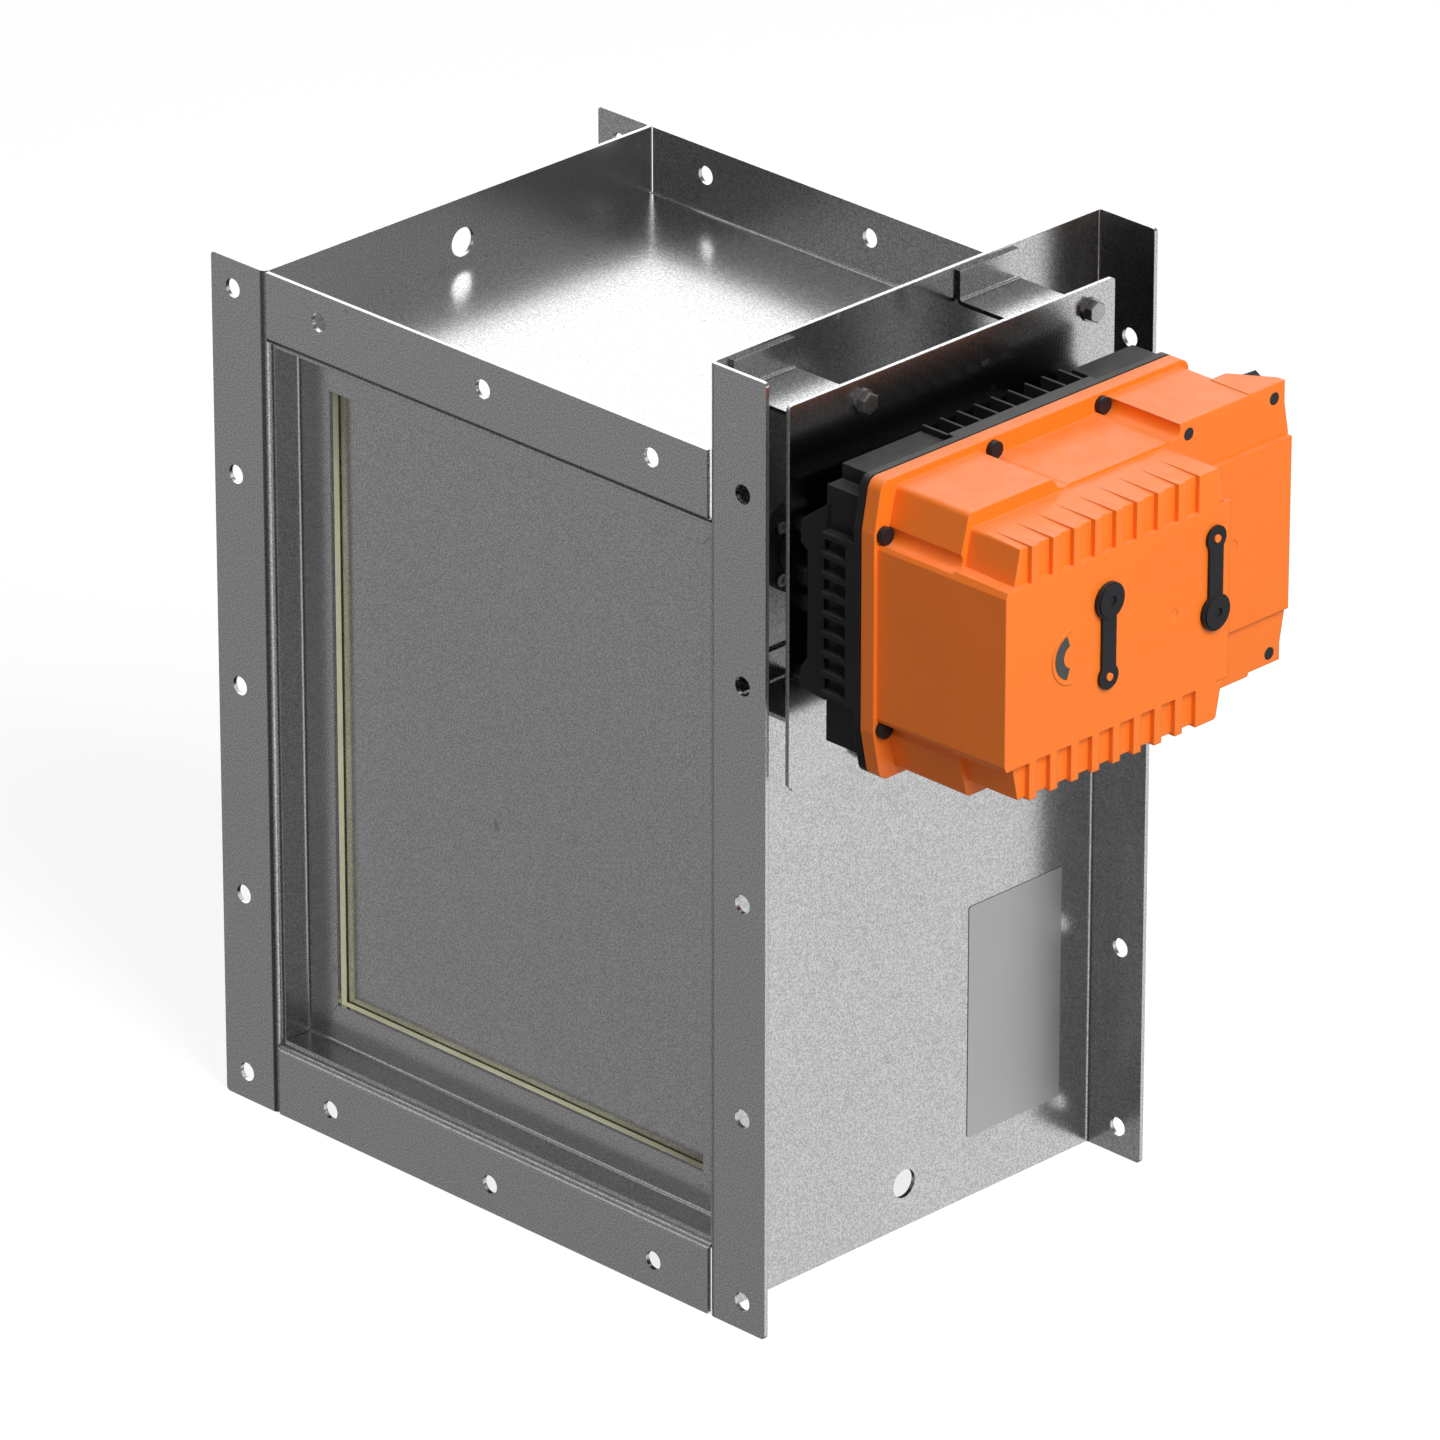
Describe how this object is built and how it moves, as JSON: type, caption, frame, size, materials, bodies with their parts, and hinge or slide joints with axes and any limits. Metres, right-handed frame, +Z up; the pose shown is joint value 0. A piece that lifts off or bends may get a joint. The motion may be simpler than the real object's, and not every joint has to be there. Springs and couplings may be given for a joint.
{
  "type": "duct isolation damper",
  "caption": "Flanged rectangular duct casing with a top-hung shut-off flap, a mitred stop frame with a soft seal, and a geared rotary actuator on a stand-off plate.",
  "frame": {"origin": "middle of the front flange's bolt pattern, in the plane of the front flange face", "axes": "+X across the duct towards the actuator, +Y through the duct along the air path, +Z up"},
  "size_m": [0.6942, 0.35, 0.66],
  "materials": {
    "galvanised_sheet": "hot-dip galvanised, fine grain, satin",
    "seal_foam": "closed-cell foam, matte cream",
    "bearing_casting": "dark painted casting",
    "bronze": "turned bronze",
    "zinc_fastener": "zinc plated",
    "bright_steel": "turned and milled",
    "label_foil": "thin satin foil, bare",
    "black_housing": "matte black coated casting",
    "orange_cover": "satin moulded plastic",
    "black_rubber": "matte black rubber",
    "black_plastic": "moulded black plastic",
    "smoked_window": "smoked clear plastic",
    "motor_can": "satin dark can",
    "board": "solder-resist green"
  },
  "bodies": {
    "casing": {"side_panel_left": "galvanised_sheet", "side_panel_right": "galvanised_sheet", "top_panel": "galvanised_sheet", "bottom_panel": "galvanised_sheet", "stop_rail_left": "galvanised_sheet", "stop_rail_right": "galvanised_sheet", "stop_rail_top": "galvanised_sheet", "stop_rail_bottom": "galvanised_sheet", "bracket_upper_front": "galvanised_sheet", "bracket_upper_rear": "galvanised_sheet", "bracket_lower_front": "galvanised_sheet", "bracket_lower_rear": "galvanised_sheet", "actuator_plate": "galvanised_sheet", "seat_gasket_left": "seal_foam", "seat_gasket_right": "seal_foam", "seat_gasket_top": "seal_foam", "seat_gasket_bottom": "seal_foam", "bearing_housing_left": "bearing_casting", "bearing_housing_right": "bearing_casting", "bearing_bush_left": "bronze", "bearing_bush_right": "bronze", "bearing_screws_left": "zinc_fastener", "bearing_screws_right": "zinc_fastener", "plate_bolts": "zinc_fastener", "plate_washers": "zinc_fastener", "plate_nuts": "zinc_fastener", "foot_screws": "zinc_fastener", "foot_spacers": "bright_steel", "idler_pin": "bright_steel", "gear_carrier": "bright_steel", "label_plate": "label_foil", "actuator_base": "black_housing", "actuator_cover": "orange_cover", "cover_gasket": "black_rubber", "cover_screws": "black_plastic", "terminal_screws": "black_plastic", "cable_gland": "black_plastic", "terminal_block": "black_plastic", "indicator_window": "smoked_window", "motor": "motor_can", "circuit_board": "board"},
    "flap": {"drive_shaft": "bright_steel", "blade_pan": "galvanised_sheet", "blade_stiffener_left": "galvanised_sheet", "blade_stiffener_right": "galvanised_sheet", "blade_arm_left": "galvanised_sheet", "blade_arm_right": "galvanised_sheet", "arm_nuts": "zinc_fastener", "shaft_collars": "bright_steel", "clamp_hub": "bright_steel", "clamp_screw": "zinc_fastener", "output_gear": "bright_steel", "indicator_disc": "black_plastic"},
    "idler": {"idler_gear": "bright_steel"},
    "motor_rotor": {"motor_pinion": "bright_steel"},
    "crank": {"crank_spindle": "bright_steel"},
    "left_plug": {"plug_left": "black_rubber"},
    "right_plug": {"plug_right": "black_rubber"}
  },
  "joints": [
    {"name": "blade_swing", "type": "hinge", "parent": "casing", "child": "flap", "pos_m": [0, 0.0745, 0.215], "axis": [1, 0, 0], "range_deg": [0, 90]},
    {"name": "idler_turn", "type": "hinge", "parent": "casing", "child": "idler", "pos_m": [0.312, 0.12738, 0.20405], "axis": [1, 0, 0], "range_deg": [-450, 0]},
    {"name": "motor_turn", "type": "hinge", "parent": "casing", "child": "motor_rotor", "pos_m": [0.32, 0.17238, 0.20405], "axis": [1, 0, 0], "range_deg": [0, 1800]},
    {"name": "crank_turn", "type": "hinge", "parent": "casing", "child": "crank", "pos_m": [0.32, 0.1048, 0.243], "axis": [1, 0, 0], "range_deg": [0, 1800]},
    {"name": "plug_left_pull", "type": "slide", "parent": "casing", "child": "left_plug", "axis": [1, 0, 0], "range_m": [0, 0.012]},
    {"name": "plug_right_pull", "type": "slide", "parent": "casing", "child": "right_plug", "axis": [1, 0, 0], "range_m": [0, 0.012]}
  ],
  "couplings": [
    {"joint": "idler_turn", "follows": "blade_swing", "ratio": -5},
    {"joint": "motor_turn", "follows": "blade_swing", "ratio": 20},
    {"joint": "crank_turn", "follows": "blade_swing", "ratio": 20}
  ]
}
